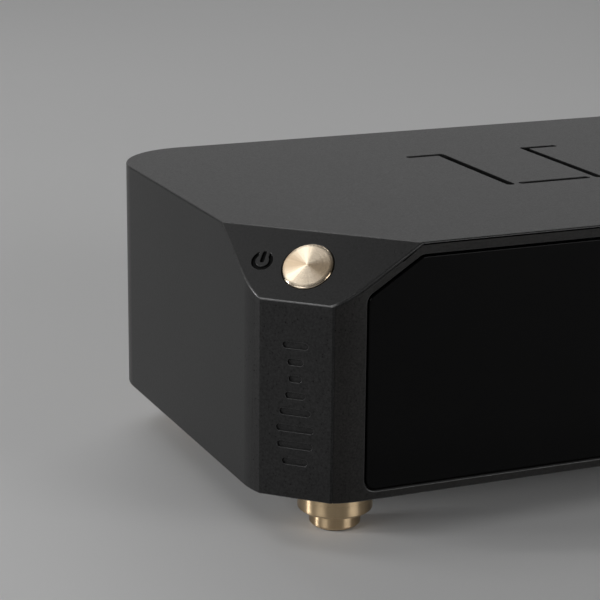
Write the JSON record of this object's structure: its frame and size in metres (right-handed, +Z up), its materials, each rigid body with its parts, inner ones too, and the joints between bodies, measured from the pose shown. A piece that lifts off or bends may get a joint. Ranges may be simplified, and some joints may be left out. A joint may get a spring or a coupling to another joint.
{
  "type": "desktop dac",
  "caption": "Compact digital-to-analogue converter in a black chamfered metal case, with a glass front, brass corner buttons, brass feet and rear phono, optical and USB sockets.",
  "frame": {"origin": "centre of the whole object's footprint, on the surface it stands on", "axes": "+X to the right seen from the front, -Y out of the glass front, +Z up"},
  "size_m": [0.16, 0.11, 0.0605],
  "materials": {
    "shell_black": "fine bead-blasted and black anodised",
    "frame_black": "fine bead-blasted and black anodised, slightly warm",
    "window_glass": "gloss black glass",
    "button_brass": "spun and lacquered",
    "foot_brass": "turned and lacquered",
    "pad_rubber": "matt",
    "panel_black": "fine texture",
    "screw_black": "black oxide",
    "screw_steel": "plain",
    "socket_gold": "gold plated",
    "socket_steel": "plated",
    "socket_plastic": "fine moulded",
    "white_plastic": "fine moulded",
    "red_plastic": "fine moulded",
    "orange_plastic": "fine moulded",
    "display_dark": "smooth",
    "gasket_foam": "foam",
    "felt_black": "felt",
    "board_green": "solder mask",
    "chip_black": "moulded",
    "capacitor_sleeve": "shrink sleeve",
    "capacitor_film": "dipped",
    "can_tin": "tinned",
    "heatsink_black": "black anodised",
    "post_brass": "plain",
    "connector_cream": "moulded",
    "cable_grey": "flat cable"
  },
  "bodies": {
    "case": {"shell": "shell_black", "front_frame": "frame_black", "display_window": "window_glass", "window_gasket": "gasket_foam", "display_module": "display_dark", "display_board": "board_green", "display_screws": "screw_steel", "frame_screws": "screw_steel", "vent_felt": "felt_black", "power_switch": "socket_plastic", "select_switch": "socket_plastic", "power_switch_board": "board_green", "select_switch_board": "board_green", "switch_screws": "screw_steel", "bottom_plate": "panel_black", "bottom_screws": "screw_black", "foot_front_left": "foot_brass", "foot_front_right": "foot_brass", "foot_rear_left": "foot_brass", "foot_rear_right": "foot_brass", "pad_front_left": "pad_rubber", "pad_front_right": "pad_rubber", "pad_rear_left": "pad_rubber", "pad_rear_right": "pad_rubber", "foot_screws": "screw_steel", "rear_panel": "panel_black", "rear_screws": "screw_black", "board_posts": "post_brass", "main_board": "board_green", "board_screws": "screw_steel", "usb_socket": "socket_steel", "usb_tongue": "white_plastic", "optical_socket": "socket_plastic", "coax_jack": "socket_gold", "line_out_right_jack": "socket_gold", "line_out_left_jack": "socket_gold", "jack_cores": "white_plastic", "coax_ring": "orange_plastic", "line_out_right_ring": "red_plastic", "line_out_left_ring": "white_plastic", "jack_nuts": "socket_gold", "dc_inlet": "socket_plastic", "dc_inlet_pin": "socket_steel", "dc_inlet_nut": "screw_steel", "processor": "chip_black", "converter_chips": "chip_black", "clock_cans": "can_tin", "output_amplifiers": "chip_black", "capacitors": "capacitor_sleeve", "film_capacitors": "capacitor_film", "regulators": "chip_black", "heatsink": "heatsink_black", "shield_can": "can_tin", "ribbon_cable": "cable_grey", "ribbon_connectors": "connector_cream"},
    "power_button_group": {"power_button": "button_brass", "power_switch_plunger": "socket_plastic"},
    "select_button_group": {"select_button": "button_brass", "select_switch_plunger": "socket_plastic"},
    "optical_flap": {"optical_shutter": "socket_plastic"}
  },
  "joints": [
    {"name": "power_button_press", "type": "slide", "parent": "case", "child": "power_button_group", "axis": [0.4765, 0.4765, -0.7388], "range_m": [0, 0.0008], "stiffness_N_per_m": 1500, "springref_m": -0.0006},
    {"name": "select_button_press", "type": "slide", "parent": "case", "child": "select_button_group", "axis": [-0.4765, 0.4765, -0.7388], "range_m": [0, 0.0008], "stiffness_N_per_m": 1500, "springref_m": -0.0006},
    {"name": "optical_shutter_swing", "type": "hinge", "parent": "case", "child": "optical_flap", "pos_m": [0.0055, 0.04425, 0.0276], "axis": [-1, 0, 0], "range_deg": [0, 80], "stiffness_Nm_per_rad": 0.0004, "springref_deg": -20.05}
  ]
}
